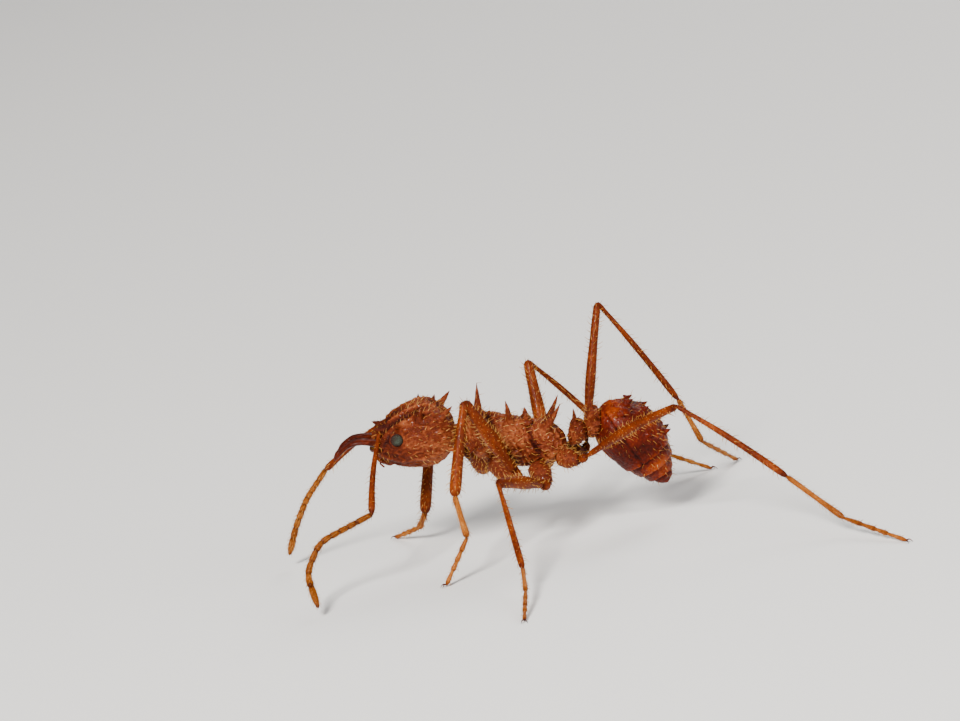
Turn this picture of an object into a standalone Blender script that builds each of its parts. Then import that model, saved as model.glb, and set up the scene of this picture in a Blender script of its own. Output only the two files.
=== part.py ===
"""A spiny leafcutter ant worker, life size, as a still museum model in the middle of a stride.

The ant walks towards -X with its left side towards -Y and stands on the floor at z = 0. Sizes and
places are in millimetres in the body's own frame, whose x = 0 is near the middle of the head, until
the last step centres the whole model over the origin.
"""

import math

import bmesh
import bpy
from mathutils import Vector

MM = 0.001
GAP = 0.03  # clear space between two pieces that meet
SIDES = {"left": -1, "right": 1}  # the sign of y on each side

HEAD_AT = Vector((0.26, 0, 3.56))
HEAD_LOBE = 0.38  # how far the rear corners reach behind the notch between them
EYE_AT = Vector((-0.2, 0.92, 3.7))
EYE_RADIUS = 0.16

LIMB = 0.25  # radius of the legs and feelers
DOME_TURN = math.radians(55)  # where the bevel of a limb's domed end stops
FLOOR_SINK = 0.12  # height of a foot's middle line, so that its underside is cut flat at the floor

# Each row is (along, rise, half height, half width) of one oval section.
HEAD = (
    (-1.13, -0.07, 0.20, 0.56),
    (-0.92, -0.08, 0.45, 0.80),
    (-0.42, -0.03, 0.78, 1.01),
    (0.14, 0.01, 0.92, 1.12),
    (0.66, 0.01, 0.93, 1.18),
    (1.06, 0.03, 0.80, 1.03),
    (1.22, 0.02, 0.44, 0.62),
)
TRUNK = (
    (0.98, 3.46, 0.24, 0.26),
    (1.40, 3.38, 0.22, 0.24),
    (1.56, 3.32, 0.30, 0.30),
    (1.76, 3.23, 0.54, 0.48),
    (2.10, 3.16, 0.78, 0.66),
    (2.48, 3.00, 0.74, 0.62),
    (2.78, 2.88, 0.72, 0.52),
    (3.25, 2.76, 0.70, 0.50),
    (3.78, 2.67, 0.70, 0.52),
    (4.13, 2.58, 0.50, 0.42),
    (4.30, 2.55, 0.24, 0.22),
)
PETIOLE = (
    (4.30, 2.58, 0.18, 0.18),
    (4.42, 2.68, 0.30, 0.26),
    (4.58, 2.80, 0.40, 0.36),
    (4.72, 2.80, 0.34, 0.32),
    (4.84, 2.76, 0.20, 0.20),
)
POSTPETIOLE = (
    (4.80, 2.80, 0.20, 0.24),
    (4.90, 2.90, 0.40, 0.46),
    (5.06, 2.98, 0.50, 0.60),
    (5.22, 2.96, 0.42, 0.56),
    (5.34, 2.92, 0.22, 0.34),
)
GASTER = (
    (-0.26, 0.34, 0.22, 0.26),
    (-0.06, 0.32, 0.56, 0.58),
    (0.34, 0.33, 0.82, 0.86),
    (0.86, 0.36, 0.92, 0.99),
    (1.38, 0.31, 0.84, 0.92),
    (1.86, 0.20, 0.62, 0.70),
    (2.26, 0.07, 0.36, 0.42),
    (2.50, 0.00, 0.14, 0.18),
)
GASTER_AT = Vector((5.15, 0, 2.85))
# Each row of bumps is (along, half height, half width), at these turns up from the side in degrees.
GASTER_BUMPS = ((0.2, 0.78, 0.80), (0.65, 0.90, 0.95), (1.1, 0.89, 0.97), (1.5, 0.78, 0.86))
GASTER_BUMP_TURNS = (28, 72)
GASTER_DROOP = math.radians(50)  # how steeply the gaster hangs down to the rear

# Joint places of each leg: coxa base, coxa end, knee, ankle, middle of the tarsus, foot.
LEGS = {
    "front_left": ((2.12, -0.35, 2.78), (2.80, -0.85, 1.97), (1.76, -1.75, 4.54),
                   (1.03, -2.50, 2.26), (1.14, -2.70, 1.15), (0.48, -2.90, 0)),
    "middle_left": ((3.27, -0.25, 2.30), (3.52, -0.90, 1.68), (2.22, -2.80, 2.44),
                    (2.42, -5.30, 0.68), (2.38, -6.60, 0.42), (2.25, -7.90, 0)),
    "hind_left": ((3.82, -0.20, 2.35), (4.45, -0.72, 2.10), (7.21, -3.30, 3.66),
                  (9.65, -4.40, 1.49), (10.82, -5.75, 0.45), (12.05, -7.60, 0)),
    "front_right": ((1.95, 0.35, 2.80), (1.90, 0.85, 2.00), (0.85, 2.40, 3.50),
                    (0.10, 1.90, 0.91), (-0.13, 2.45, 0.42), (-0.75, 3.20, 0)),
    "middle_right": ((3.24, 0.25, 2.30), (3.72, 0.85, 1.85), (3.65, 2.00, 4.50),
                     (5.30, 2.90, 2.15), (6.62, 3.35, 1.05), (7.95, 3.95, 0)),
    "hind_right": ((3.90, 0.20, 2.35), (4.70, 0.72, 1.96), (5.81, 1.80, 5.74),
                   (7.47, 2.00, 2.63), (7.93, 2.70, 1.17), (8.75, 4.30, 0)),
}
# Joint places of each antenna: socket, elbow, two bends of the whip, tip.
ANTENNAE = {
    "left": ((-0.66, -0.54, 3.92), (-1.30, -2.10, 2.25), (-2.72, -2.45, 1.74),
             (-3.20, -2.80, 1.06), (-3.05, -3.65, 0.30)),
    "right": ((-0.66, 0.54, 3.92), (-2.31, 1.60, 2.77), (-2.98, 1.95, 1.95),
              (-3.42, 2.22, 1.20), (-3.78, 2.50, 0.36)),
}


def clear_scene():
    for thing in list(bpy.data.objects):
        bpy.data.objects.remove(thing)


def collection(name):
    made = bpy.data.collections.new(name)
    bpy.context.scene.collection.children.link(made)
    return made


def material(name, colour, roughness):
    made = bpy.data.materials.new(name)
    made.use_nodes = True
    surface = made.node_tree.nodes["Principled BSDF"]
    surface.inputs["Base Color"].default_value = (*colour, 1)
    surface.inputs["Roughness"].default_value = roughness
    surface.inputs["Metallic"].default_value = 0
    return made


def add_object(name, mesh, look=None):
    """Add a piece of the ant, or a cutter where no look is given."""
    made = bpy.data.objects.new(name, mesh)
    if look:
        mesh.materials.append(look)
        PARTS.objects.link(made)
    else:
        CUTTERS.objects.link(made)
        made.hide_render = True
        made.display_type = "WIRE"
    for face in mesh.polygons:
        face.use_smooth = True
    return made


def mesh_from(bm, name):
    """Turn millimetres into metres and make the mesh."""
    bmesh.ops.recalc_face_normals(bm, faces=bm.faces)
    bmesh.ops.scale(bm, vec=(MM, MM, MM), verts=bm.verts)
    mesh = bpy.data.meshes.new(name)
    bm.to_mesh(mesh)
    bm.free()
    return mesh


def evaluated_mesh(source):
    """The mesh of an object with its modifiers done, in metres."""
    bpy.context.view_layer.update()
    ready = source.evaluated_get(bpy.context.evaluated_depsgraph_get())
    return bpy.data.meshes.new_from_object(ready)


def oval(centre, across, upward, half_width, half_height, sides=12, squareness=2.3):
    """Places round a superellipse, which is a plain ellipse at a squareness of 2."""
    ring = []
    for step in range(sides):
        angle = math.tau * (step + 0.5) / sides
        side, rise = math.cos(angle), math.sin(angle)
        side = math.copysign(abs(side) ** (2 / squareness), side) * half_width
        rise = math.copysign(abs(rise) ** (2 / squareness), rise) * half_height
        ring.append(centre + across * side + upward * rise)
    return ring


def loft(name, rings, look, smooth_levels=1):
    """A closed body through rings of places, rounded by subdivision."""
    bm = bmesh.new()
    rows = [[bm.verts.new(place) for place in ring] for ring in rings]
    for row, after in zip(rows, rows[1:]):
        for step in range(len(row)):
            beyond = (step + 1) % len(row)
            bm.faces.new((row[step], row[beyond], after[beyond], after[step]))
    bm.faces.new(rows[0])
    bm.faces.new(rows[-1])
    made = add_object(name, mesh_from(bm, name), look)
    if smooth_levels:
        smooth = made.modifiers.new("round", "SUBSURF")
        smooth.levels = smooth.render_levels = smooth_levels
    return made


def upright_rings(stations, start=Vector((0, 0, 0)), **shape):
    """Upright ovals in a row along x."""
    rings = []
    for along, rise, half_height, half_width in stations:
        centre = start + Vector((along, 0, rise))
        rings.append(oval(centre, Vector((0, 1, 0)), Vector((0, 0, 1)), half_width, half_height, **shape))
    return rings


def tube(name, path, radii, look, round_end=True):
    """A round limb through the places of path, in millimetres, with a domed far end."""
    path, radii = [Vector(place) for place in path], list(radii)
    if round_end:
        onward = (path[-1] - path[-2]).normalized()
        end, radius = path[-1], radii[-1]
        path.append(end + onward * radius * math.sin(DOME_TURN))
        radii.append(radius * math.cos(DOME_TURN))
    curve = bpy.data.curves.new(name, "CURVE")
    curve.dimensions = "3D"
    curve.bevel_depth = MM
    curve.bevel_resolution = 2
    curve.use_fill_caps = True
    spline = curve.splines.new("POLY")
    spline.points.add(len(path) - 1)
    for point, place, radius in zip(spline.points, path, radii):
        point.co = (*(place * MM), 1)
        point.radius = radius
    draft = bpy.data.objects.new(name + "_curve", curve)
    bpy.context.scene.collection.objects.link(draft)
    bm = bmesh.new()
    bm.from_mesh(evaluated_mesh(draft))
    bpy.data.objects.remove(draft)
    bmesh.ops.remove_doubles(bm, verts=bm.verts, dist=GAP * MM * 0.01)
    bmesh.ops.recalc_face_normals(bm, faces=bm.faces)
    mesh = bpy.data.meshes.new(name)
    bm.to_mesh(mesh)
    bm.free()
    return add_object(name, mesh, look)


def boolean(target, tool, operation):
    change = target.modifiers.new(operation.lower(), "BOOLEAN")
    change.object = tool
    change.operation = operation
    change.solver = "EXACT"


def fit_to(piece, neighbour):
    """Cut a piece back to a thin gap from its neighbour."""
    mesh = evaluated_mesh(neighbour)
    for vertex, normal in zip(mesh.vertices, [item.vector.copy() for item in mesh.vertex_normals]):
        vertex.co += normal * GAP * MM
    boolean(piece, add_object(f"{piece.name}_clear_of_{neighbour.name}", mesh), "DIFFERENCE")


def add_spines(body, spines):
    """Join cones to a body. Each spine is its base, its tip and the radius of its base."""
    bm = bmesh.new()
    for base, tip, radius in spines:
        base, tip = Vector(base), Vector(tip)
        along = tip - base
        turn = along.to_track_quat("Z", "Y").to_matrix().to_4x4()
        turn.translation = base + along / 2
        bmesh.ops.create_cone(
            bm, cap_ends=True, segments=5, radius1=radius, radius2=radius * 0.12,
            depth=along.length, matrix=turn,
        )
    boolean(body, add_object(body.name + "_spines", mesh_from(bm, "spines")), "UNION")


def both_sides(spines):
    """The same spines on the right and on the left."""
    return [
        (Vector((base[0], side * base[1], base[2])), Vector((tip[0], side * tip[1], tip[2])), radius)
        for side in SIDES.values()
        for base, tip, radius in spines
    ]


def slice_of(source, name, look, planes):
    """Keep what lies behind every plane, each a place in millimetres and an outward direction."""
    bm = bmesh.new()
    bm.from_mesh(evaluated_mesh(source))
    for place, outward in planes:
        cut = bmesh.ops.bisect_plane(
            bm, geom=bm.verts[:] + bm.edges[:] + bm.faces[:],
            plane_co=Vector(place) * MM, plane_no=outward, clear_outer=True,
        )
        rim = [item for item in cut["geom_cut"] if isinstance(item, bmesh.types.BMEdge)]
        bmesh.ops.holes_fill(bm, edges=rim)
    bmesh.ops.recalc_face_normals(bm, faces=bm.faces)
    mesh = bpy.data.meshes.new(name)
    bm.to_mesh(mesh)
    bm.free()
    mesh.materials.clear()
    return add_object(name, mesh, look)


def make_head(look):
    """The capsule, broadest at its rear corners, with its lobes and spines."""
    rings = upright_rings(HEAD, HEAD_AT, sides=12, squareness=2.2)
    for ring, (along, _, _, half_width) in zip(rings, HEAD):
        lobe = HEAD_LOBE * max(along, 0) / HEAD[-1][0]
        for place in ring:
            place.x -= lobe * (1 - (place.y / half_width) ** 2)
    head = loft("head", rings, look)
    add_spines(head, both_sides([
        ((1.08, 0.78, 4.08), (1.42, 0.96, 4.34), 0.11),
        ((0.50, 0.84, 4.18), (0.58, 1.02, 4.42), 0.09),
        ((-0.10, 0.76, 3.94), (-0.20, 1.00, 4.14), 0.09),
        ((1.10, 0.84, 3.22), (1.36, 1.04, 3.04), 0.09),
        ((-0.50, 0.38, 3.90), (-0.78, 0.50, 4.04), 0.16),
        ((0.92, 0.35, 4.28), (1.02, 0.40, 4.44), 0.08),
    ]))
    return head


def make_eye(side, head, look):
    """A domed eye in a socket of its own."""
    sign = SIDES[side]
    centre = Vector((EYE_AT.x, sign * EYE_AT.y, EYE_AT.z))
    for name, radius, its_look in ((f"eye_{side}", EYE_RADIUS, look),
                                   (f"socket_{side}", EYE_RADIUS + GAP, None)):
        bm = bmesh.new()
        bmesh.ops.create_uvsphere(bm, u_segments=12, v_segments=8, radius=radius)
        bmesh.ops.translate(bm, vec=centre, verts=bm.verts)
        ball = add_object(name, mesh_from(bm, name), its_look)
    boolean(head, ball, "DIFFERENCE")


def make_mandible(side, head, scape, look):
    """A flat blade that hooks down and inwards, with teeth along its inner edge."""
    sign = SIDES[side]
    path = [Vector((x, sign * y, z)) for x, y, z in (
        (-0.70, 0.42, 3.58), (-0.90, 0.40, 3.66), (-1.25, 0.36, 3.74), (-1.56, 0.30, 3.68),
        (-1.79, 0.24, 3.49), (-1.97, 0.17, 3.32))]
    teeth = 5
    steps = 2 * teeth + 4
    rings = []
    for step in range(steps + 1):
        share = step / steps
        reach = share * (len(path) - 1)
        index = min(int(reach), len(path) - 2)
        centre = path[index].lerp(path[index + 1], reach - index)
        onward = (path[index + 1] - path[index]).normalized()
        inward = (Vector((0, -sign, 0)) - onward * onward.dot(Vector((0, -sign, 0)))).normalized()
        flat = onward.cross(inward).normalized()
        blade = 0.17 * math.sin(math.pi * (0.2 + 0.72 * share)) ** 0.8
        tooth = 0.05 * (step % 2) * (0.3 < share < 0.95)
        rings.append(oval(centre + inward * tooth * 0.5, inward, flat, blade + tooth,
                          0.12 * (1 - 0.5 * share), sides=8, squareness=2))
    mandible = loft(f"mandible_{side}", rings, look, smooth_levels=0)
    fit_to(mandible, head)
    fit_to(mandible, scape)


def make_antenna(side, head, looks):
    """A stiff first length to the elbow, then the whip in three lengths."""
    socket, elbow, *whip = [Vector(place) for place in ANTENNAE[side]]
    scape = tube(f"scape_{side}", (socket, socket.lerp(elbow, 0.5), elbow),
                 (LIMB * 0.92, LIMB * 0.96, LIMB), looks["scape"])
    fit_to(scape, head)
    before, start = scape, elbow
    for number, end in enumerate(whip, 1):
        length = tube(f"funiculus_{side}_{number}", (start, start.lerp(end, 0.5), end),
                      (LIMB * 0.9, LIMB, LIMB), looks["funiculus"])
        fit_to(length, before)
        before, start = length, end
    return scape


def make_trunk(head, looks):
    """The neck and the middle of the body in its three lengths, each with its spines."""
    whole = loft("trunk", upright_rings(TRUNK, sides=12, squareness=2.3), looks["trunk"])
    add_spines(whole, both_sides([
        ((1.98, 0.42, 3.54), (2.18, 0.90, 4.42), 0.14),
        ((1.84, 0.36, 3.05), (1.58, 0.70, 2.86), 0.08),
        ((2.84, 0.26, 3.38), (2.84, 0.50, 3.86), 0.12),
        ((3.24, 0.26, 3.30), (3.30, 0.40, 3.62), 0.10),
        ((3.80, 0.26, 3.14), (4.26, 0.56, 3.74), 0.12),
    ]))
    front, rear = (2.56, 0, 3.0), (3.44, 0, 2.7)
    lean = Vector((1, 0, 0.25)).normalized()
    half = lean * GAP / 2
    planes = {
        "pronotum": [(Vector(front) - half, lean)],
        "mesothorax": [(Vector(front) + half, -lean), (Vector(rear) - half, lean)],
        "propodeum": [(Vector(rear) + half, -lean)],
    }
    lengths = {name: slice_of(whole, name, looks["trunk"], cuts) for name, cuts in planes.items()}
    spine_tool = bpy.data.objects["trunk_spines"]
    bpy.data.objects.remove(whole)
    bpy.data.objects.remove(spine_tool)
    fit_to(lengths["pronotum"], head)
    return lengths


def make_gaster(postpetiole, look):
    """The egg-shaped rear of the body with its rows of bumps, and its last rings as one tip."""
    along = Vector((math.cos(GASTER_DROOP), 0, -math.sin(GASTER_DROOP)))
    upward = Vector((math.sin(GASTER_DROOP), 0, math.cos(GASTER_DROOP)))
    rings = [
        oval(GASTER_AT + along * reach + upward * rise, Vector((0, 1, 0)), upward,
             half_width, half_height, sides=12, squareness=2.1)
        for reach, rise, half_height, half_width in GASTER
    ]
    whole = loft("gaster_whole", rings, look)
    bumps = []
    for reach, half_height, half_width in GASTER_BUMPS:
        for turn in GASTER_BUMP_TURNS:
            side, rise = math.cos(math.radians(turn)), math.sin(math.radians(turn))
            middle = GASTER_AT + along * reach + upward * GASTER[2][1]
            outward = Vector((0, 1, 0)) * side + upward * rise
            skin = middle + Vector((0, 1, 0)) * side * half_width + upward * rise * half_height
            bumps.append((skin - outward * 0.08, skin + outward * 0.10 + along * 0.06, 0.10))
    add_spines(whole, both_sides(bumps))
    edge = GASTER_AT + along * 1.72
    lengths = {
        "gaster": [(edge - along * GAP / 2, along)],
        "gaster_tip": [(edge + along * GAP / 2, -along)],
    }
    made = {name: slice_of(whole, name, look, cuts) for name, cuts in lengths.items()}
    for name in ("gaster_whole", "gaster_whole_spines"):
        bpy.data.objects.remove(bpy.data.objects[name])
    fit_to(made["gaster"], postpetiole)


def make_waist(propodeum, look):
    """The two knots between trunk and gaster, with their small teeth."""
    petiole = loft("petiole", upright_rings(PETIOLE, sides=8, squareness=2), look)
    add_spines(petiole, both_sides([((4.56, 0.14, 3.00), (4.60, 0.30, 3.34), 0.08)]))
    fit_to(petiole, propodeum)
    postpetiole = loft("postpetiole", upright_rings(POSTPETIOLE, sides=8, squareness=2.1), look)
    add_spines(postpetiole, both_sides([
        ((5.06, 0.20, 3.30), (5.10, 0.32, 3.60), 0.08),
        ((5.08, 0.42, 3.10), (5.14, 0.70, 3.24), 0.08),
    ]))
    fit_to(postpetiole, petiole)
    return postpetiole


def bowed(start, end, rise, count=3):
    """Places from start to end along a shallow arch."""
    start, end = Vector(start), Vector(end)
    lift = Vector((0, 0, 1)) * rise * (end - start).length
    return [start.lerp(end, step / (count + 1)) + lift * math.sin(math.pi * step / (count + 1))
            for step in range(count + 2)]


def make_leg(name, trunk_length, looks, ground):
    """One leg as its five lengths, each fitted to the one above it, cut flat at the floor."""
    root, hip, knee, ankle, middle, foot = [Vector(place) for place in LEGS[name]]
    foot.z = FLOOR_SINK
    middle_path = bowed(middle, foot, 0.0, 1)
    coxa = tube(f"{name}_coxa", (root, root.lerp(hip, 0.5), hip), (0.24, 0.31, 0.25), looks["coxa"])
    fit_to(coxa, trunk_length)
    femur = tube(f"{name}_femur", bowed(hip, knee, 0.025), (0.23, 0.27, 0.28, 0.27, LIMB), looks["femur"])
    tibia = tube(f"{name}_tibia", bowed(knee, ankle, 0.02), (0.22, LIMB, 0.26, 0.27, LIMB), looks["tibia"])
    basitarsus = tube(f"{name}_basitarsus", bowed(ankle, middle, 0.0, 1), (0.22, LIMB, LIMB), looks["tarsus"])
    tarsus = tube(f"{name}_tarsus", middle_path, (0.22, LIMB, LIMB), looks["tarsus"])
    lengths = (coxa, femur, tibia, basitarsus, tarsus)
    for above, below in zip(lengths, lengths[1:]):
        fit_to(below, above)
    boolean(tarsus, ground, "DIFFERENCE")


def make_ground():
    """A block below z = 0 that cuts the feet level."""
    bm = bmesh.new()
    bmesh.ops.create_cube(bm, size=1)
    bmesh.ops.scale(bm, vec=(40, 40, 2), verts=bm.verts)
    bmesh.ops.translate(bm, vec=(4, 0, -1), verts=bm.verts)
    return add_object("ground", mesh_from(bm, "ground"))


def centre_over_origin(pieces):
    """Move every piece by one step, so that the box round them stands centred on the origin."""
    bpy.context.view_layer.update()
    places = [vertex.co.copy() for piece in pieces for vertex in evaluated_mesh(piece).vertices]
    low = Vector(min(place[axis] for place in places) for axis in range(3))
    high = Vector(max(place[axis] for place in places) for axis in range(3))
    middle = (low + high) / 2
    body = bpy.data.objects.new("ant", None)
    bpy.context.scene.collection.objects.link(body)
    body.location = (-middle.x, -middle.y, 0)
    for piece in bpy.data.objects:
        if piece is not body:
            piece.parent = body


clear_scene()
PARTS = collection("leafcutter_ant")
CUTTERS = collection("cutters")
RUST, AMBER = (0.30, 0.065, 0.02), (0.52, 0.20, 0.05)
LOOKS = {
    "head": material("head_shell", RUST, 0.55),
    "eye": material("eye_glaze", (0.05, 0.08, 0.08), 0.15),
    "mandible": material("mandible_horn", (0.16, 0.02, 0.012), 0.3),
    "scape": material("scape_shell", (0.40, 0.12, 0.03), 0.45),
    "funiculus": material("funiculus_shell", AMBER, 0.5),
    "trunk": material("trunk_shell", RUST, 0.55),
    "waist": material("waist_shell", (0.33, 0.075, 0.02), 0.5),
    "gaster": material("gaster_shell", (0.36, 0.09, 0.025), 0.4),
    "coxa": material("coxa_shell", (0.30, 0.07, 0.02), 0.45),
    "femur": material("femur_shell", (0.36, 0.09, 0.025), 0.45),
    "tibia": material("tibia_shell", (0.42, 0.12, 0.03), 0.45),
    "tarsus": material("tarsus_shell", AMBER, 0.5),
}

HEAD_PIECE = make_head(LOOKS["head"])
TRUNK_LENGTHS = make_trunk(HEAD_PIECE, LOOKS)
GROUND = make_ground()
for SIDE in SIDES:
    SCAPE = make_antenna(SIDE, HEAD_PIECE, LOOKS)
    make_mandible(SIDE, HEAD_PIECE, SCAPE, LOOKS["mandible"])
    for PLACE, LENGTH in (("front", "pronotum"), ("middle", "mesothorax"), ("hind", "propodeum")):
        make_leg(f"{PLACE}_{SIDE}", TRUNK_LENGTHS[LENGTH], LOOKS, GROUND)
for SIDE in SIDES:
    make_eye(SIDE, HEAD_PIECE, LOOKS["eye"])
make_gaster(make_waist(TRUNK_LENGTHS["propodeum"], LOOKS["waist"]), LOOKS["gaster"])
centre_over_origin(list(PARTS.objects))
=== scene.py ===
# %% [markdown]
# # A leafcutter ant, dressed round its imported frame
# The frame is the ant as plain closed solids: a head, a trunk, a waist, a gaster, and legs and feelers
# of round lengths. This lesson gives each of them its real surface. All the shapes are made in
# millimetres, because Blender's remesher can't use steps as small as an ant's in metres, and each
# finished piece is scaled down once at the end.

# %% Load the frame
import math

import bmesh
import bpy
import numpy as np
from mathutils import Matrix, Vector, noise


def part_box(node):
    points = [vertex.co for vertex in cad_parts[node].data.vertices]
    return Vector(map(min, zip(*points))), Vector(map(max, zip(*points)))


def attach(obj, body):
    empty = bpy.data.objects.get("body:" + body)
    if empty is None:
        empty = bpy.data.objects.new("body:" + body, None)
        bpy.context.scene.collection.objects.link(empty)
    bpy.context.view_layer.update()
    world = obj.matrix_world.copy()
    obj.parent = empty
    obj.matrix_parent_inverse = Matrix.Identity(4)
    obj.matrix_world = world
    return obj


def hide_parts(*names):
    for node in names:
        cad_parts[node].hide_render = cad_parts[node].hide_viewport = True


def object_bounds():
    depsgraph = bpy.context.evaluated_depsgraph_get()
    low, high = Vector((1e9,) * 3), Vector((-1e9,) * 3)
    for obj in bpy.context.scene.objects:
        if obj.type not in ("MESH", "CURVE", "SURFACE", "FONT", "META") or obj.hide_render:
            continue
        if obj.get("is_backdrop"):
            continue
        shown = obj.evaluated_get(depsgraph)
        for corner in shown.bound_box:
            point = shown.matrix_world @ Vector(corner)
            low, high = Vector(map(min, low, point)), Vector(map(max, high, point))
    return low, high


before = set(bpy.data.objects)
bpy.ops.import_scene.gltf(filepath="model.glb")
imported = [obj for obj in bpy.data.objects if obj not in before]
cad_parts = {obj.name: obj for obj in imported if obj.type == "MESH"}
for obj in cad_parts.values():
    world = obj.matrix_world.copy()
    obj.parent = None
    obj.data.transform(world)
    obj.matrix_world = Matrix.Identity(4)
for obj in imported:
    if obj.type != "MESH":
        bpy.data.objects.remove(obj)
CAD_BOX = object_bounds()
MM = 0.001
SIDES = {"left": -1, "right": 1}  # the sign of y on each side of the ant
print("the frame has", len(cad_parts), "solids")


# %% Read a mesh as arrays
def read(items, field, width=1, kind=float):
    """One field of every item of a mesh, as an array with width numbers to a row."""
    values = np.empty(len(items) * width, dtype=kind)
    items.foreach_get(field, values)
    return values.reshape(-1, width) if width > 1 else values


def places_of(mesh):
    return read(mesh.vertices, "co", 3)


def normals_of(mesh):
    return read(mesh.vertex_normals, "vector", 3)


def short(values):
    """Numbers rounded for printing."""
    return [round(float(value), 2) for value in values]


# %% Measure in millimetres
def box_mm(node):
    """The lowest and highest corner of a solid, in millimetres."""
    low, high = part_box(node)
    return Vector(low) / MM, Vector(high) / MM


def middle_mm(node):
    low, high = box_mm(node)
    return (low + high) / 2


def radius_mm(node):
    """Half the height of a solid."""
    low, high = box_mm(node)
    return (high - low).z / 2


def points_mm(node):
    """The places of a solid's corners, each once, in millimetres."""
    return np.unique(np.round(places_of(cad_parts[node].data) / MM, 5), axis=0)


EYES_MIDDLE = (middle_mm("eye_left") + middle_mm("eye_right")) / 2


def from_eyes(x, y, z):
    """A place that is measured from midway between the eyes."""
    return EYES_MIDDLE + Vector((x, y, z))


print("midway between the eyes:", short(EYES_MIDDLE), "mm")

# %% [markdown]
# ## Writing node trees as sums
# Shaders and Geometry Nodes are both graphs. Written node by node they are long, so a small class wraps
# an output socket: adding or multiplying it by a number or by another socket adds the Math node. All
# other nodes come from one method, which takes the node's type, its settings and its sockets' values.

# %% A graph helper
class Value:
    """One output of a node, on which sums can be written."""

    def __init__(self, graph, output):
        self.graph = graph
        self.output = output

    def sum_of(self, operation, *terms):
        return self.graph.node("ShaderNodeMath", {"operation": operation}, dict(enumerate(terms)))

    def __add__(self, other):
        return self.sum_of("ADD", self, other)

    __radd__ = __add__

    def __sub__(self, other):
        return self.sum_of("SUBTRACT", self, other)

    def __rsub__(self, other):
        return self.sum_of("SUBTRACT", other, self)

    def __mul__(self, other):
        return self.sum_of("MULTIPLY", self, other)

    __rmul__ = __mul__

    def __truediv__(self, other):
        return self.sum_of("DIVIDE", self, other)

    def __rtruediv__(self, other):
        return self.sum_of("DIVIDE", other, self)

    def clamped(self):
        return self.graph.node("ShaderNodeClamp", {}, {0: self})

    def sibling(self, name):
        """Another output of the same node."""
        return Value(self.graph, self.output.node.outputs[name])


class Graph:
    """A node tree with one method that adds any node."""

    def __init__(self, tree):
        self.tree = tree

    def node(self, kind, settings, values, output=0):
        made = self.tree.nodes.new(kind)
        for name, setting in settings.items():
            if name == "stops":
                set_stops(made.color_ramp, setting)
            else:
                setattr(made, name, setting)
        feed(made, values)
        return Value(self, made.outputs[output]) if made.outputs else None

    def added(self, first, second):
        return self.node("ShaderNodeVectorMath", {"operation": "ADD"}, {0: first, 1: second})

    def scaled(self, vector, scale):
        return self.node("ShaderNodeVectorMath", {"operation": "SCALE"}, {0: vector, "Scale": scale})


# %% Setting sockets and ramps
def feed(node, values):
    """Set a node's sockets, and link those whose value comes from another node."""
    for name, value in values.items():
        if isinstance(value, Value):
            value.graph.tree.links.new(value.output, node.inputs[name])
        else:
            node.inputs[name].default_value = value


def set_stops(ramp, stops):
    """Stops of a colour ramp as (place, colour)."""
    while len(ramp.elements) > 1:
        ramp.elements.remove(ramp.elements[-1])
    ramp.elements[0].position, ramp.elements[0].color = stops[0]
    for place, colour in stops[1:]:
        ramp.elements.new(place).color = colour


# %% Meshes, objects and surfaces
def mesh_from(bm, name):
    """A mesh of all that a bmesh holds. The bmesh is then let go."""
    mesh = bpy.data.meshes.new(name)
    bm.to_mesh(mesh)
    bm.free()
    return mesh


def add_object(name, data):
    """Put a mesh, a lamp or a camera into the scene."""
    data.name = name
    made = bpy.data.objects.new(name, data)
    bpy.context.scene.collection.objects.link(made)
    return made


def new_surface(name):
    """A new material, and the node of it that makes its surface."""
    made = bpy.data.materials.new(name)
    made.use_nodes = True
    return made, made.node_tree.nodes["Principled BSDF"]


# %% [markdown]
# ## Camera, floor and light
# The ant is looked at from its left side, a little from above, through a long lens as for any close
# view of a small animal, so the near legs are hardly larger than the far ones. The camera is rolled, so
# that the ant walks downhill in the view although it stands on a level floor. A large softbox in front
# is the main light, a wide one fills the shadows, and one behind draws a bright edge along the back.

# %% The camera
CAMERA_AIM = from_eyes(2.59, -0.5, 1.60)
CAMERA_DISTANCE = 140  # mm
CAMERA_ELEVATION = math.radians(12)
CAMERA_ROLL = math.radians(11.3)
VIEW_WIDTH = 25.6  # mm across the view, where the ant stands
SENSOR = 36  # mm

looking = Vector((0, math.cos(CAMERA_ELEVATION), -math.sin(CAMERA_ELEVATION)))
level_up = Vector((0, math.sin(CAMERA_ELEVATION), math.cos(CAMERA_ELEVATION)))
right = Vector((1, 0, 0)) * math.cos(CAMERA_ROLL) - level_up * math.sin(CAMERA_ROLL)
up = Vector((1, 0, 0)) * math.sin(CAMERA_ROLL) + level_up * math.cos(CAMERA_ROLL)
stand = Matrix((right, up, -looking)).transposed().to_4x4()
stand.translation = (CAMERA_AIM - looking * CAMERA_DISTANCE) * MM

camera_data = bpy.data.cameras.new("camera")
camera_data.sensor_width = SENSOR
camera_data.lens = SENSOR * CAMERA_DISTANCE / VIEW_WIDTH
camera_data.clip_start = 0.001
camera_data.clip_end = 10
camera = add_object("camera", camera_data)
camera.matrix_world = stand
bpy.context.scene.camera = camera
print("lens", round(camera_data.lens), "mm, camera", round(stand.translation.z / MM, 1), "mm up")

# %% The floor
FLOOR_REACH = 0.6  # metres from the middle to an edge


def add_stage_floor():
    bm = bmesh.new()
    bmesh.ops.create_grid(bm, x_segments=1, y_segments=1, size=FLOOR_REACH)
    floor = add_object("floor", mesh_from(bm, "floor"))
    pale, surface = new_surface("pale_floor")
    feed(surface, {"Base Color": (0.88, 0.87, 0.85, 1), "Roughness": 0.7})
    floor.data.materials.append(pale)
    floor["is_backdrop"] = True
    print("floor", FLOOR_REACH * 2, "m across")


add_stage_floor()

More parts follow.
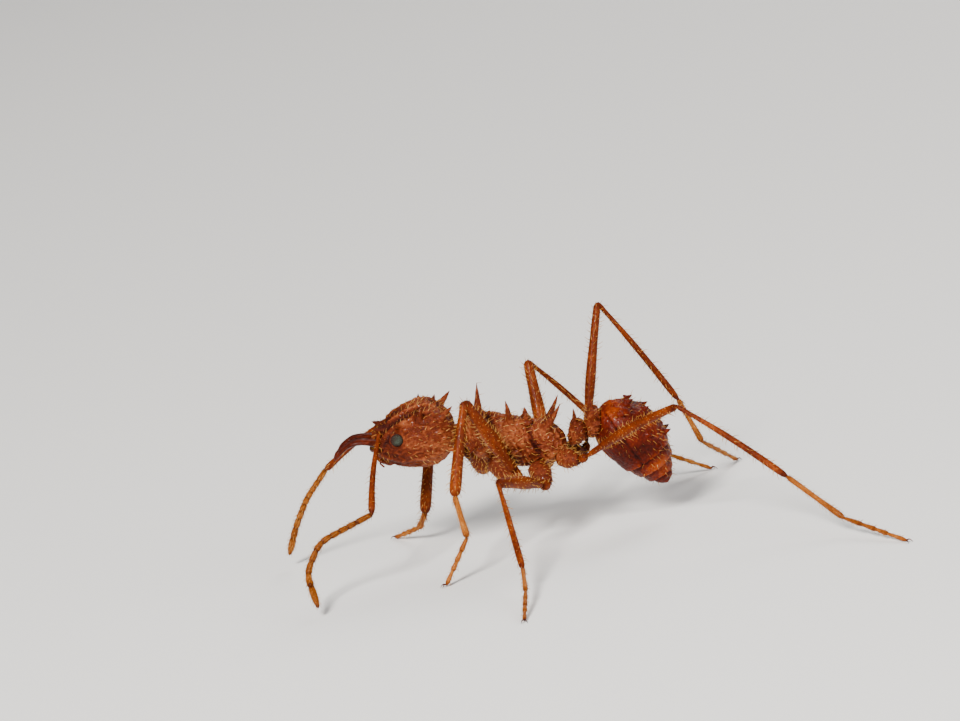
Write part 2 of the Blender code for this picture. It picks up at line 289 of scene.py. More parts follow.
# %% The softboxes
# Each is a square lamp that faces the ant: its place in millimetres from where the camera aims, its width
# in millimetres, its watts and its colour.
WARM = (1.0, 0.97, 0.93)
COOL = (0.95, 0.97, 1.0)
SOFTBOXES = {
    "key": ((-63, -153, 130), 54, 0.94, WARM),
    "fill": ((144, -108, 72), 126, 0.19, COOL),
    "rim": ((90, 144, 144), 108, 0.23, WARM),
}
for name, (place, width, watts, colour) in SOFTBOXES.items():
    lamp_data = bpy.data.lights.new(name, "AREA")
    lamp_data.size = width * MM
    lamp_data.energy = watts
    lamp_data.color = colour
    lamp = add_object(name, lamp_data)
    lamp.location = (CAMERA_AIM + Vector(place)) * MM
    lamp.rotation_euler = (-Vector(place)).to_track_quat("-Z", "Y").to_euler()
world = bpy.data.worlds.new("studio")
world.use_nodes = True
feed(world.node_tree.nodes["Background"], {"Color": (0.80, 0.81, 0.83, 1), "Strength": 0.26})
bpy.context.scene.world = world
print("softboxes:", list(SOFTBOXES))

# %% [markdown]
# ## Materials
# An ant's shell is tanned cuticle: rust red and granular on the head and the trunk, smoother on the
# gaster, and clear amber where a feeler or a foot is thin enough to let light through. One function
# makes them all. Coarse noise shifts the colour, fine cells give the grain, and a thin clear coat glints
# on the ridges and the tops of the granules. Grooves are painted darker and ridges lighter, as painted
# shade and painted highlight, and the joints of a limb are darker. Noise and cells read Object
# coordinates turned into millimetres, so the grain has the same size on every piece.

# %% The shell material
TONE = "tone"  # painted shade in grooves and painted highlight on ridges, and darker at the joints of a limb
CLOUDS_PER_MM = 1.4  # the coarse noise that shifts the colour
SPECKS_PER_MM = 13.0  # the fine noise that breaks it up
SHADES = (0.12, 0.5, 0.85)  # the tones at which the dark, the middle and the light colour show
COAT_ROUGHNESS = 0.16
SHEEN = 0.07  # low, so that the shell under the coat keeps its deep colour


def shell_material(name, colours, rough, grain_per_mm, grain_depth, gleam):
    """Tanned shell from dark to light. grain_depth is in millimetres, gleam weighs its clear coat."""
    made, surface = new_surface(name)
    graph = Graph(made.node_tree)
    place = graph.node("ShaderNodeTexCoord", {}, {}, "Object")
    place = graph.scaled(place, 1 / MM)
    clouds = graph.node("ShaderNodeTexNoise", {}, {"Vector": place, "Scale": CLOUDS_PER_MM, "Detail": 4.0})
    specks = graph.node("ShaderNodeTexNoise", {}, {"Vector": place, "Scale": SPECKS_PER_MM, "Detail": 3.0})
    cells = graph.node(
        "ShaderNodeTexVoronoi", {"feature": "F1"}, {"Vector": place, "Scale": grain_per_mm}, "Distance"
    )
    # Read from each piece: painted shade in the grooves and painted highlight on the ridges of its relief,
    # and the darker joints of a limb.
    painted_shade_and_joints = graph.node("ShaderNodeAttribute", {"attribute_name": TONE}, {}, "Fac")
    # The cells also paint a fine shade into the low edges of each granule.
    tone = (clouds * 0.9 + specks * 0.7 - 0.3 - cells * 0.12 + painted_shade_and_joints * 0.3).clamped()
    stops = [(shade, (*colour, 1)) for shade, colour in zip(SHADES, colours)]
    glints = ((0.32 - cells) * 4.0 + painted_shade_and_joints * 0.6).clamped()
    bumps = {"Height": cells * -1.0 + specks * 0.6, "Distance": grain_depth * MM, "Strength": 1.0}
    feed(surface, {
        "Base Color": graph.node("ShaderNodeValToRGB", {"stops": stops}, {0: tone}),
        "Roughness": (rough + (specks - 0.5) * 0.4 + cells * 0.1).clamped(),
        "Normal": graph.node("ShaderNodeBump", {}, bumps),
        "Coat Weight": glints * gleam,
        "Coat Roughness": COAT_ROUGHNESS,
        "Specular IOR Level": SHEEN,
    })
    return made


# %% The ant's finishes
# Each triple of colours goes from dark to light: the dark is painted shade in the grooves, the light is
# painted highlight on the ridges, and noise moves the colour between them.
RUST = ((0.022, 0.002, 0.001), (0.108, 0.016, 0.004), (0.27, 0.068, 0.019))
AMBER_RUST = ((0.022, 0.002, 0.001), (0.095, 0.007, 0.001), (0.26, 0.040, 0.003))
LEG_AMBER = ((0.034, 0.003, 0.001), (0.118, 0.016, 0.001), (0.28, 0.056, 0.005))
FOOT_AMBER = ((0.090, 0.018, 0.002), (0.250, 0.065, 0.007), (0.46, 0.17, 0.03))
WHIP_AMBER = ((0.040, 0.006, 0.001), (0.170, 0.042, 0.003), (0.38, 0.13, 0.02))
DARK_HORN = ((0.012, 0.0015, 0.001), (0.060, 0.007, 0.002), (0.15, 0.020, 0.006))
STRAW = ((0.280, 0.100, 0.015), (0.480, 0.220, 0.045), (0.72, 0.44, 0.15))
EYE_GREY = ((0.034, 0.008, 0.007), (0.052, 0.060, 0.044), (0.11, 0.12, 0.11))
HEAD_SHELL = shell_material("head_rust", RUST, 0.55, 24, 0.014, 0.5)
TRUNK_SHELL = shell_material("trunk_rust", RUST, 0.52, 22, 0.016, 0.55)
GASTER_SHELL = shell_material("gaster_amber", AMBER_RUST, 0.38, 18, 0.009, 0.55)
LEG_SHELL = shell_material("leg_amber", LEG_AMBER, 0.42, 22, 0.006, 0.5)
FOOT_SHELL = shell_material("foot_amber", FOOT_AMBER, 0.42, 26, 0.004, 0.4)
WHIP_SHELL = shell_material("whip_amber", WHIP_AMBER, 0.42, 26, 0.005, 0.5)
JAW_HORN = shell_material("jaw_horn", DARK_HORN, 0.32, 12, 0.003, 0.4)
BRISTLE = shell_material("bristle_straw", STRAW, 0.35, 6, 0.0005, 0.3)
EYE_GLAZE = shell_material("eye_facets", EYE_GREY, 0.16, 30, 0.001, 0.8)
print("materials:", [item.name for item in bpy.data.materials])

# %% [markdown]
# ## Finding the joints
# The solids already hold the pose. A limb's length ends in a dome round the next joint, and the next
# length is cut to fit it. So the joint is the middle of the last full ring of corners before the dome,
# and walking from joint to joint gives the whole leg, without a list of places to keep up to date.

# %% The joints of the legs
RING = 8  # corners round a limb's solid
FOOT_HEIGHT = 0.055  # mm, of the middle of a foot's end


def joint_after(node, start):
    """The middle of the last full ring of a limb's solid, seen from its start."""
    places = points_mm(node)
    onward = places.mean(axis=0) - np.array(start)
    order = np.argsort(places @ (onward / np.linalg.norm(onward)))
    return Vector(places[order[-2 * RING:-RING]].mean(axis=0))


def find_leg(name, owner):
    """The leg's joints in order: root, hip, knee, ankle, middle of the tarsus, foot."""
    hip = joint_after(f"{name}_coxa", middle_mm(owner))
    root = hip.lerp(middle_mm(f"{name}_coxa"), 2.0)
    joints = [root, hip]
    for length in ("femur", "tibia", "basitarsus"):
        joints.append(joint_after(f"{name}_{length}", joints[-1]))
    tarsus = points_mm(f"{name}_tarsus")
    reach = np.linalg.norm(tarsus - np.array(joints[-1]), axis=1)
    foot = Vector(tarsus[np.argsort(reach)[-RING:]].mean(axis=0))
    joints.append(Vector((foot.x, foot.y, FOOT_HEIGHT)))
    return joints


OWNERS = {"front": "pronotum", "middle": "mesothorax", "hind": "propodeum"}
LEGS = {
    f"{place}_{side}": find_leg(f"{place}_{side}", owner)
    for place, owner in OWNERS.items()
    for side in SIDES
}
for name, joints in LEGS.items():
    lengths = [(after - before).length for before, after in zip(joints, joints[1:])]
    print(name, "lengths in mm:", short(lengths))

# %% The joints of the feelers
SOCKET = (-0.42, 0.50, 0.20)  # where a feeler leaves the head, in millimetres from between the eyes
ANTENNAE = {}
for side, sign in SIDES.items():
    x, y, z = SOCKET
    bends = [from_eyes(x, sign * y, z), joint_after(f"scape_{side}", middle_mm("head"))]
    for number in (1, 2, 3):
        bends.append(joint_after(f"funiculus_{side}_{number}", bends[-1]))
    ANTENNAE[side] = bends
    print("feeler", side, "has its elbow at", short(bends[1]))

# %% [markdown]
# ## Limbs
# A leg or a feeler is a chain of hard tubes, each narrow where it enters the one before and swollen at
# its far end. Each tube is a row of points with a thickness. Geometry Nodes turns every row into a
# curve, carries a circle along it at that thickness and closes the ends. The points also carry how far
# along the limb they are and which way it runs, for the bristles that come later.

# %% Parts of a geometry tree
def new_tree(name, sockets):
    """An empty Geometry Nodes tree with named inputs after its geometry."""
    tree = bpy.data.node_groups.new(name, "GeometryNodeTree")
    tree.is_modifier = True
    tree.interface.new_socket("Geometry", in_out="INPUT", socket_type="NodeSocketGeometry")
    tree.interface.new_socket("Geometry", in_out="OUTPUT", socket_type="NodeSocketGeometry")
    for label, kind in sockets.items():
        tree.interface.new_socket(label, in_out="INPUT", socket_type="NodeSocket" + kind)
    graph = Graph(tree)
    start = graph.node("NodeGroupInput", {}, {})
    return graph, {label: start.sibling(label) for label in ("Geometry", *sockets)}


def finish_tree(graph, geometry, material):
    """Realize what the tree made, give it its material and send it out."""
    real = graph.node("GeometryNodeRealizeInstances", {}, {"Geometry": geometry})
    real = graph.node("GeometryNodeSetShadeSmooth", {}, {"Geometry": real})
    real = graph.node("GeometryNodeSetMaterial", {}, {"Geometry": real, "Material": material})
    graph.node("NodeGroupOutput", {}, {"Geometry": real})
    return graph.tree


def named(graph, name, kind="FLOAT"):
    return graph.node("GeometryNodeInputNamedAttribute", {"data_type": kind}, {"Name": name})


def stored(graph, geometry, name, value, kind="FLOAT", domain="POINT"):
    return graph.node(
        "GeometryNodeStoreNamedAttribute", {"data_type": kind, "domain": domain},
        {"Geometry": geometry, "Name": name, "Value": value},
    )


# %% The tree that gives rows of points their shells
def make_limb_tree():
    graph, given = new_tree("limb shells", {"Sides": "Int", "Shell": "Material"})
    rows = graph.node("GeometryNodeMeshToCurve", {}, {"Mesh": given["Geometry"]})
    corners = {"Resolution": given["Sides"], "Radius": 1.0}
    circle = graph.node("GeometryNodeCurvePrimitiveCircle", {}, corners)
    factor = graph.node("GeometryNodeSplineParameter", {}, {}, "Factor")
    circle = stored(graph, circle, "around", factor)
    shells = graph.node(
        "GeometryNodeCurveToMesh", {},
        {"Curve": rows, "Profile Curve": circle, "Scale": named(graph, "thickness"), "Fill Caps": True},
    )
    return finish_tree(graph, shells, given["Shell"])


LIMB_TREE = make_limb_tree()


# %% Running a tree and finishing a piece
def run_tree(source, tree, name, inputs):
    """The plain mesh that a Geometry Nodes tree makes of an object, as a new object."""
    modifier = source.modifiers.new(name, "NODES")
    modifier.node_group = tree
    for item in tree.interface.items_tree:
        if item.in_out == "INPUT" and item.name in inputs:
            modifier[item.identifier] = inputs[item.name]
    bpy.context.view_layer.update()
    ready = source.evaluated_get(bpy.context.evaluated_depsgraph_get())
    mesh = bpy.data.meshes.new_from_object(ready)
    source.modifiers.remove(modifier)
    return add_object(name, mesh)


def finish_piece(piece, slot, *nodes):
    """Scale a piece from millimetres to metres, hang it under the root, and hide the solids that it stands
    for.
    """
    piece.data.transform(Matrix.Scale(MM, 4))
    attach(piece, "root")
    if nodes:
        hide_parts(*nodes)
    piece.data.calc_loop_triangles()
    print(piece.name, len(piece.data.loop_triangles), "triangles")


# %% Ways through space
def eased(share, stops):
    """A smooth curve through (share, value) stops."""
    for (low, start), (high, end) in zip(stops, stops[1:]):
        if share <= high:
            step = (share - low) / (high - low)
            return start + (end - start) * step * step * (3 - 2 * step)
    return stops[-1][1]


def straight(start, end):
    return lambda share: start.lerp(end, share)


def arched(start, end, arch, arch_way=Vector((0, 0, 1))):
    rise = arch_way * arch * (end - start).length
    return lambda share: start.lerp(end, share) + rise * math.sin(math.pi * share)


def bent(places, soften=0.06):
    """A way through several places that is rounded at its bends."""
    steps = [(before, after, (after - before).length) for before, after in zip(places, places[1:])]
    total = sum(length for _, _, length in steps)

    def place_at(share):
        reach = min(max(share, 0), 1) * total
        for before, after, length in steps:
            if reach <= length:
                return before.lerp(after, reach / length)
            reach -= length
        return places[-1].copy()

    def rounded(share):
        reach = min(soften, share, 1 - share) if 0 < share < 1 else 0
        return sum((place_at(share + step * reach) for step in (-1, 0, 1)), Vector()) / 3

    return rounded


# %% Rows of points
JOINT_TONE, OPEN_TONE = -0.5, 0.15  # darker at the two ends of each length


def row_along(way, stops, girth=1.0, points=24):
    """Places along way, a function of the share from 0 to 1, with the thickness that the stops give."""
    shares = [number / (points - 1) for number in range(points)]
    return [(way(share), eased(share, stops) * girth) for share in shares]


def rows_object(name, rows):
    """Rows of points as loose edges that carry thickness, place along the limb, direction and tone."""
    bm = bmesh.new()
    layers = bm.verts.layers
    thickness, along, tone = (layers.float.new(label) for label in ("thickness", "along", TONE))
    lie = layers.float_vector.new("lie")
    total = sum(len(row) for row in rows)
    count = 0
    for row in rows:
        vertices = [bm.verts.new(place) for place, _ in row]
        for before, after in zip(vertices, vertices[1:]):
            bm.edges.new((before, after))
        for number, (vertex, (_, radius)) in enumerate(zip(vertices, row)):
            ahead = vertices[min(number + 1, len(row) - 1)].co
            behind = vertices[max(number - 1, 0)].co
            vertex[thickness] = radius
            vertex[along] = (count + number) / total
            vertex[lie] = (ahead - behind).normalized()
            vertex[tone] = JOINT_TONE if min(number, len(row) - 1 - number) < 2 else OPEN_TONE
        count += len(row)
    return add_object(name, mesh_from(bm, name))


def tubes(name, rows, material, sides):
    """The closed shells round some rows of points, as one object."""
    source = rows_object(name + "_rows", rows)
    made = run_tree(source, LIMB_TREE, name, {"Sides": sides, "Shell": material})
    bpy.data.objects.remove(source)
    return made


# %% The shapes of the lengths
# Each stop is (share of the length, radius in millimetres).
SHAPES = {
    "coxa": ((0, 0.14), (0.15, 0.24), (0.5, 0.27), (0.85, 0.18), (1, 0.11)),
    "trochanter": ((0, 0.05), (0.3, 0.13), (0.75, 0.125), (1, 0.07)),
    "femur": (
        (0, 0.05), (0.08, 0.10), (0.42, 0.165), (0.78, 0.13), (0.93, 0.12), (0.98, 0.11), (1, 0.06)
    ),
    "tibia": (
        (0, 0.05), (0.03, 0.08), (0.1, 0.072), (0.5, 0.098), (0.9, 0.108), (0.98, 0.092), (1, 0.05)
    ),
    "basitarsus": ((0, 0.03), (0.04, 0.055), (0.5, 0.052), (0.93, 0.066), (1, 0.035)),
    "tarsomere": ((0, 0.03), (0.25, 0.042), (0.85, 0.056), (1, 0.04)),
    "toe": ((0, 0.03), (0.2, 0.036), (0.8, 0.048), (1, 0.025)),
    "claw": ((0, 0.022), (0.5, 0.016), (1, 0.004)),
    "spur": ((0, 0.022), (0.6, 0.012), (1, 0.004)),
    "scape": (
        (0, 0.04), (0.03, 0.074), (0.06, 0.05), (0.12, 0.062), (0.6, 0.080), (0.93, 0.096), (1, 0.05)
    ),
    "bead": ((0, 0.070), (0.25, 0.084), (0.85, 0.092), (1, 0.074)),
    "last bead": ((0, 0.072), (0.25, 0.092), (0.6, 0.086), (0.9, 0.052), (1, 0.015)),
}
# The front legs are the stoutest. Each row is for the coxa, femur, tibia, basitarsus and tarsus.
GIRTHS = {
    "front": (1.25, 1.25, 1.50, 1.45, 1.30),
    "middle": (1.12, 1.12, 0.85, 1.05, 1.15),
    "hind": (1.00, 0.86, 0.86, 1.30, 1.20),
}
TROCHANTER = 0.30  # mm
OVERLAP = 0.04  # how far a length reaches into the one before
TOES = (0.0, 0.30, 0.52, 0.70, 1.0)  # where the last four lengths of the foot begin and end
FEMUR_ARCH, TIBIA_ARCH = 0.025, 0.02  # how high a length bows, as a share of it
SPUR = 0.26  # mm
FRONT_SPURS, OTHER_SPUR = (-0.35, 0.35), (0.3,)  # how far each spur turns aside for one step ahead
CLAW = 0.17  # mm
CLAW_TIP = 0.008  # mm above the floor
CLAW_SPREAD = 0.55
BEADS = (0, 0.13, 0.20, 0.27, 0.34, 0.42, 0.50, 0.59, 0.69, 0.80, 1.0)  # of a feeler's whip


# %% The rows of the legs and feelers
def leg_rows(name):
    """The rows of one leg by the part of the solid that they stand for."""
    root, hip, knee, ankle, middle, foot = LEGS[name]
    coxa_girth, girth, tibia_girth, foot_girth, toe_girth = GIRTHS[name.split("_")[0]]
    turn = hip + (knee - hip).normalized() * TROCHANTER
    femur = arched(turn.lerp(hip, OVERLAP), knee, FEMUR_ARCH)
    tibia = arched(knee, ankle, TIBIA_ARCH)
    rows = {
        "coxa": [row_along(straight(root, hip), SHAPES["coxa"], coxa_girth)],
        "femur": [row_along(straight(hip, turn), SHAPES["trochanter"], girth, 12),
                  row_along(femur, SHAPES["femur"], girth, 36)],
        "tibia": [row_along(tibia, SHAPES["tibia"], tibia_girth, 32)],
        "basitarsus": [row_along(straight(ankle, middle), SHAPES["basitarsus"], foot_girth, 20)],
        "tarsus": [],
    }
    for low, high in zip(TOES, TOES[1:]):
        kind = "toe" if high == TOES[-1] else "tarsomere"
        way = straight(middle.lerp(foot, max(low - OVERLAP, 0)), middle.lerp(foot, high))
        rows["tarsus"].append(row_along(way, SHAPES[kind], toe_girth, 12))
    onward = (ankle - knee).normalized()
    aside = onward.cross(middle - ankle).normalized()
    for lean in FRONT_SPURS if name.startswith("front") else OTHER_SPUR:
        tip = ankle + (onward + aside * lean).normalized() * SPUR
        rows["tibia"].append(row_along(arched(ankle, tip, 0.1), SHAPES["spur"], 1, 8))
    return rows


def claw_rows(name):
    """Two hooked claws at the end of the foot, which come down to the floor."""
    middle, foot = LEGS[name][-2:]
    onward = (foot - middle).normalized()
    level = Vector((onward.x, onward.y, 0)).normalized()
    aside = Vector((-level.y, level.x, 0))
    rows = []
    for lean in (-CLAW_SPREAD, CLAW_SPREAD):
        tip = foot + (level + aside * lean).normalized() * CLAW
        tip.z = CLAW_TIP
        rows.append(row_along(arched(foot, tip, 0.3), SHAPES["claw"], 1, 10))
    return rows


def feeler_rows(side):
    """The stiff scape, then the ten beads of the whip, sorted to the three lengths of the solid."""
    socket, elbow, *rest = ANTENNAE[side]
    scape = arched(socket, elbow, 0.03, Vector((-1, 0, 0)))
    rows = {f"scape_{side}": [row_along(scape, SHAPES["scape"], 1, 36)]}
    whip = bent([elbow, *rest])
    for low, high in zip(BEADS, BEADS[1:]):
        kind = "last bead" if high == BEADS[-1] else "bead"
        row = row_along(lambda share: whip(low + (high - low) * share), SHAPES[kind], 0.9 + 0.2 * low, 12)
        length = min(int((low + high) / 2 * 3), 2) + 1
        rows.setdefault(f"funiculus_{side}_{length}", []).append(row)
    return rows


# %% Unwrapping a round skin
SKIN_MAP = "skin_map"
TURN_WIDTH = 0.9  # of the map's width goes once round a skin


def unwrap(mesh, around, along):
    """A map from each corner's place around and along a skin, with the seam's faces kept whole."""
    corners = read(mesh.loops, "vertex_index", kind=np.int64)
    starts = read(mesh.polygons, "loop_start", kind=np.int64)
    sizes = read(mesh.polygons, "loop_total", kind=np.int64)
    turn = around[corners]
    highest = np.repeat(np.maximum.reduceat(turn, starts), sizes)
    turn = np.where(highest - turn > 0.5, turn + 1, turn)
    layer = mesh.uv_layers.new(name=SKIN_MAP)
    layer.data.foreach_set("uv", np.column_stack((turn * TURN_WIDTH, along[corners])).ravel())


def carried(mesh, name):
    """The number that each point of a mesh carries under a name."""
    return read(mesh.attributes[name].data, "value")


def make_limb(name, rows, material, sides=16):
    limb = tubes(name, rows, material, sides)
    unwrap(limb.data, carried(limb.data, "around"), carried(limb.data, "along"))
    return limb


# %% The legs and feelers
LEG_FINISHES = {
    "coxa": (TRUNK_SHELL, "coxa_shell"),
    "femur": (LEG_SHELL, "femur_shell"),
    "tibia": (LEG_SHELL, "tibia_shell"),
    "basitarsus": (FOOT_SHELL, "tarsus_shell"),
    "tarsus": (FOOT_SHELL, "tarsus_shell"),
}
bristly, downy = {}, {}  # rows that carry long bristles, and rows that carry fine down
for name in LEGS:
    for part, rows in leg_rows(name).items():
        look, slot = LEG_FINISHES[part]
        finish_piece(make_limb(f"{name}_{part}_shell", rows, look), slot, f"{name}_{part}")
        grown = downy if look is FOOT_SHELL else bristly
        grown.setdefault(name, []).extend(rows)
claws = [row for name in LEGS for row in claw_rows(name)]
finish_piece(make_limb("claws", claws, JAW_HORN, 8), "tarsus_shell")
for side in SIDES:
    for node, rows in feeler_rows(side).items():
        scape = node.startswith("scape")
        look, slot, grown = (
            (LEG_SHELL, "scape_shell", bristly) if scape else (WHIP_SHELL, "funiculus_shell", downy)
        )
        finish_piece(make_limb(node + "_shell", rows, look), slot, node)
        grown.setdefault("feeler_" + side, []).extend(rows)

# %% [markdown]
# ## Shell plates
# The head, the trunk, the two knots of the waist and the gaster are boxes of hard plate. The solids
# give their form, but with few faces. So each is copied, and its spines are taken off and noted. The
# rest is remeshed finely and relaxed until no facet shows. Every spine comes back as a spreading root,
# which the remesher melts into the plate, with a crisp point set on it. Last, ridges, grooves and
# wrinkles are pressed in along the normals of the skin.

# %% Working on a mesh
def place_all(mesh, places):
    mesh.vertices.foreach_set("co", places.ravel())
    mesh.update()


def carry(mesh, name, values, kind="FLOAT"):
    """Let each point of a mesh carry a number or a vector under a name."""
    layer = mesh.attributes.new(name, kind, "POINT")
    layer.data.foreach_set("vector" if kind == "FLOAT_VECTOR" else "value", values.ravel())


def relax(mesh, passes):
    """Even a mesh out, drawing each corner in towards its neighbours and then almost as far back."""
    places = places_of(mesh)
    ends = read(mesh.edges, "vertices", 2, np.int64)
    start, end = np.concatenate((ends, ends[:, ::-1])).T
    degree = np.bincount(start, minlength=len(places))[:, None]
    for pull in (0.5, -0.51) * passes:
        total = np.column_stack([
            np.bincount(start, weights=places[end, axis], minlength=len(places)) for axis in range(3)
        ])
        places = places + (total / degree - places) * pull
    place_all(mesh, places)


def remesh(thing, step):
    """Give an object one even skin of small faces, step millimetres apart."""
    change = thing.modifiers.new("remesh", "REMESH")
    change.mode = "VOXEL"
    change.voxel_size = step
    bpy.context.view_layer.update()
    ready = thing.evaluated_get(bpy.context.evaluated_depsgraph_get())
    thing.data = bpy.data.meshes.new_from_object(ready)
    thing.modifiers.clear()


def join_to(thing, mesh):
    """Add a mesh to that of an object."""
    bm = bmesh.new()
    bm.from_mesh(thing.data)
    bm.from_mesh(mesh)
    bm.to_mesh(thing.data)
    bm.free()


def dress(thing, material):
    """Give a whole piece one material and smooth shading."""
    thing.data.materials.clear()
    thing.data.materials.append(material)
    thing.data.shade_smooth()


# %% Taking the spines off
SHARP = math.radians(200)  # the angles round a spine's tip add up to less than this
WELD = 0.003  # mm, between corners that are the same place
MERGE = 0.045  # mm, wider than a spine's blunt tip
TIP_FACE = 0.0006  # square mm, larger than a face of that tip
SHORTEST = 0.03  # mm, shorter than any spine
APART = 0.12  # mm, nearer than any two spines stand


def take_spines_off(bm):
    """Flatten every spine of a merged solid, and list their bases, tips and radii."""
    spines = []
    for vertex in bm.verts:
        if vertex.link_loops and sum(loop.calc_angle() for loop in vertex.link_loops) < SHARP:
            around = [edge.other_vert(vertex).co for edge in vertex.link_edges]
            base = sum(around, Vector()) / len(around)
            radius = sum((place - base).length for place in around) / len(around)
            length = (vertex.co - base).length
            if length > SHORTEST:
                spines.append((length, vertex, base, vertex.co.copy(), radius))
    for _, vertex, base, _, _ in spines:
        vertex.co = base
    spines.sort(key=lambda spine: spine[0], reverse=True)
    kept = []  # where a seam cuts a spine in two, the longer half stands for both
    for _, _, base, tip, radius in spines:
        if all((base - other).length > APART for other, _, _ in kept):
            kept.append((base, tip, radius))
    return kept


# %% Putting finer spines on
# Each stop is (share of the length, share of the radius).
SPINE = ((0, 1.1), (0.25, 0.98), (0.5, 0.72), (0.75, 0.42), (0.93, 0.16), (1, 0.04))
ROOT = ((0, 1.75), (0.35, 1.5), (0.7, 1.05), (1, 0.7))  # where a spine spreads into its plate
ROOT_SHARE = 0.45  # how far up a spine its spreading root reaches
BURIED = 0.3  # how far a spine goes on below its plate, as a share of its length
SLIM = 0.42  # a spine's largest radius as a share of its length
CALM = "calm"  # 1 on open plate, falling near a spine, so that no wrinkle dents it


def spine_rows(spines):
    """The rows of the spines' spreading roots, and those of their points."""
    roots, points = [], []
    for base, tip, radius in spines:
        way = arched(base.lerp(tip, -BURIED), tip, 0.03, Vector((1, 0, 0)))
        radius = min(radius, SLIM * (tip - base).length)
        roots.append(row_along(straight(way(0), way(ROOT_SHARE)), ROOT, radius, 12))
        points.append(row_along(way, SPINE, radius, 24))
    return roots, points


def calm_round(places, spines):
    """How far each place is from the nearest spine, from 0.1 on it to 1 clear of it."""
    calm = np.ones(len(places))
    for base, tip, radius in spines:
        foot, along = np.array(base), np.array(tip - base)
        share = np.clip((places - foot) @ along / (along @ along), 0, 1)
        away = np.linalg.norm(places - foot - share[:, None] * along, axis=1)
        calm = np.minimum(calm, np.clip(away / radius - 1.3, 0.1, 1))
    return calm


def join_spines(plate, rows, material):
    """Set the shells of some rows of points on a plate, without what the rows carried."""
    if rows:
        spines = tubes("spines", rows, material, 12)
        for label in ("thickness", "along", "around", "lie", TONE):
            if label in spines.data.attributes:
                spines.data.attributes.remove(spines.data.attributes[label])
        join_to(plate, spines.data)
        bpy.data.objects.remove(spines)


# %% One fine plate
FINE_STEP = 0.018  # mm between the corners of a finished plate
PASSES, FINE_PASSES = 14, 3  # of relaxing, before the spines' roots are set on and after


def make_plate(name, nodes, material, step=0.04, grow=0.0):
    """One fine closed skin over the named solids. grow keeps relaxing from shrinking it."""
    bm = bmesh.new()
    for node in nodes:
        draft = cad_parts[node].data.copy()
        draft.transform(Matrix.Scale(1 / MM, 4))
        bm.from_mesh(draft)
    bmesh.ops.remove_doubles(bm, verts=bm.verts, dist=WELD)
    blunt = [
        corner for corner in bm.verts
        if any(face.calc_area() < TIP_FACE for face in corner.link_faces)
    ]
    bmesh.ops.remove_doubles(bm, verts=blunt, dist=MERGE)
    spines = take_spines_off(bm)
    bmesh.ops.recalc_face_normals(bm, faces=bm.faces)
    bm.normal_update()
    for vertex in bm.verts:
        vertex.co += vertex.normal * grow
    plate = add_object(name, mesh_from(bm, name))
    remesh(plate, step)
    relax(plate.data, PASSES)
    place_all(plate.data, places_of(plate.data) - normals_of(plate.data) * grow)
    roots, points = spine_rows(spines)
    join_spines(plate, roots, material)
    remesh(plate, FINE_STEP)
    relax(plate.data, FINE_PASSES)
    join_spines(plate, points, material)
    carry(plate.data, CALM, calm_round(places_of(plate.data), spines))
    dress(plate, material)
    print(name, "has", len(spines), "spines")
    return plate


# %% Forms pressed into a skin
def bell(distance, width):
    """1 where distance is zero, falling smoothly to nothing past width."""
    return np.exp(-((distance / width) ** 2))


def ridge(places, line, width, height):
    """A rounded ridge along a line of places, or a groove where height is below zero."""
    nearest = np.full(len(places), np.inf)
    for before, after in zip(line, line[1:]):
        before = np.array(before, dtype=float)
        step = np.array(after) - before
        share = np.clip(((places - before) @ step) / (step @ step), 0, 1)
        nearest = np.minimum(nearest, np.linalg.norm(places - before - share[:, None] * step, axis=1))
    return height * bell(nearest, width)


def ring(places, centre, radius, width, height):
    """A rounded rim round a centre, or a dome where radius is zero."""
    away = np.linalg.norm(places - np.array(centre), axis=1)
    return height * bell(away - radius, width)


def wrinkles(places, stretch, height):
    """Fine uneven relief. stretch is how many wrinkles there are to a millimetre on each axis."""
    scaled = places * np.array(stretch)
    return height * np.array([noise.noise(Vector(place)) for place in scaled])


def folds(places, stretch, height, narrow=4.0):
    """A net of narrow raised folds, with stretch folds to a millimetre on each axis."""
    return height * np.clip(1 - np.abs(wrinkles(places, stretch, narrow)), 0, 1) ** 1.5


def warts(places, per_mm, height, seed=0.0):
    """Low rounded bumps, scattered evenly."""
    scaled = places * per_mm + seed
    nearest = np.array([noise.voronoi(Vector(place))[0][0] for place in scaled])
    return height * bell(nearest, 0.33)


def rough_skin(places, fold_stretch, fold_height, wrinkle_stretch, warts_per_mm, wart_height, seed=0.0):
    """The coarse skin of a head, a trunk or a knot: folds, the finest wrinkles and warts."""
    return (
        folds(places, fold_stretch, fold_height)
        + wrinkles(places, wrinkle_stretch, 0.010)
        + warts(places, warts_per_mm, wart_height, seed)
    )


# %% Sides of a plate
VIEWS = {"top": (0, 1), "front": (1, 2), "flank": (0, 2)}  # the two axes on which each side is drawn


def mirrored(places, origin):
    """Places measured from an origin and mirrored to the right, so that one line serves both sides."""
    off = places - np.array(origin)
    return np.column_stack((off[:, 0], np.abs(off[:, 1]), off[:, 2]))


def side_mask(facing, lift):
    """1 where a skin faces one way, 0 where it has turned off. A larger lift lets it reach further."""
    return np.clip(facing * 2.0 + lift, 0, 1)


def drawn_forms(places, masks, forms):
    """The sum of ridges and grooves, each drawn as a line on one side of a plate."""
    return sum(
        ridge(places[:, VIEWS[side]], line, width, height) * masks[side]
        for side, line, width, height in forms.values()
    )


